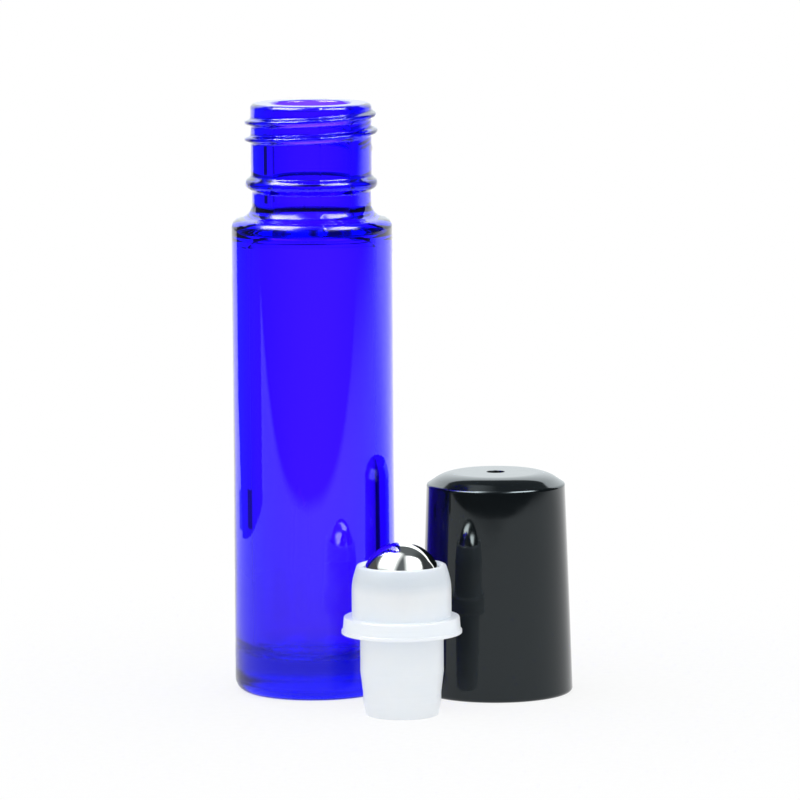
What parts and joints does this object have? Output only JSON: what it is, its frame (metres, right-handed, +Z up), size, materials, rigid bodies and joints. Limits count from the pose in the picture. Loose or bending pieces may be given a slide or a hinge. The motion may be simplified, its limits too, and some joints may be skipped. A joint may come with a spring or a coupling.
{
  "type": "roll on bottle",
  "caption": "Refillable glass roll on bottle, shown open: cobalt blue bottle with a screw neck, press-in roller closure with a steel ball, and glossy black screw cap.",
  "frame": {"origin": "centre of the ring that the bottle stands on, at table level", "axes": "+Z up along the bottle's axis and out of its mouth; the closure stands towards -Y and +X of the bottle, and the cap towards +X"},
  "size_m": [0.0421, 0.0355, 0.0734],
  "materials": {
    "cobalt_glass": "clear cobalt blue glass, smooth and fire polished",
    "natural_polyethylene": "natural milky polyethylene, slightly translucent, soft sheen",
    "polished_steel": "mirror polished stainless steel",
    "black_polypropylene": "gloss black moulded polypropylene"
  },
  "bodies": {
    "bottle": {"glass_bottle": "cobalt_glass"},
    "closure": {"roller_housing": "natural_polyethylene"},
    "ball": {"roller_ball": "polished_steel"},
    "cap": {"screw_cap": "black_polypropylene"}
  },
  "joints": [
    {"name": "closure_lift", "type": "slide", "parent": "bottle", "child": "closure", "axis": [0, 0, 1], "range_m": [0, 0.09]},
    {"name": "ball_roll", "type": "hinge", "parent": "closure", "child": "ball", "pos_m": [0.0108, -0.01812, 0.01623], "axis": [1, 0, 0], "continuous": true},
    {"name": "cap_lift", "type": "slide", "parent": "bottle", "child": "cap", "axis": [0, 0, 1], "range_m": [0, 0.09]}
  ]
}
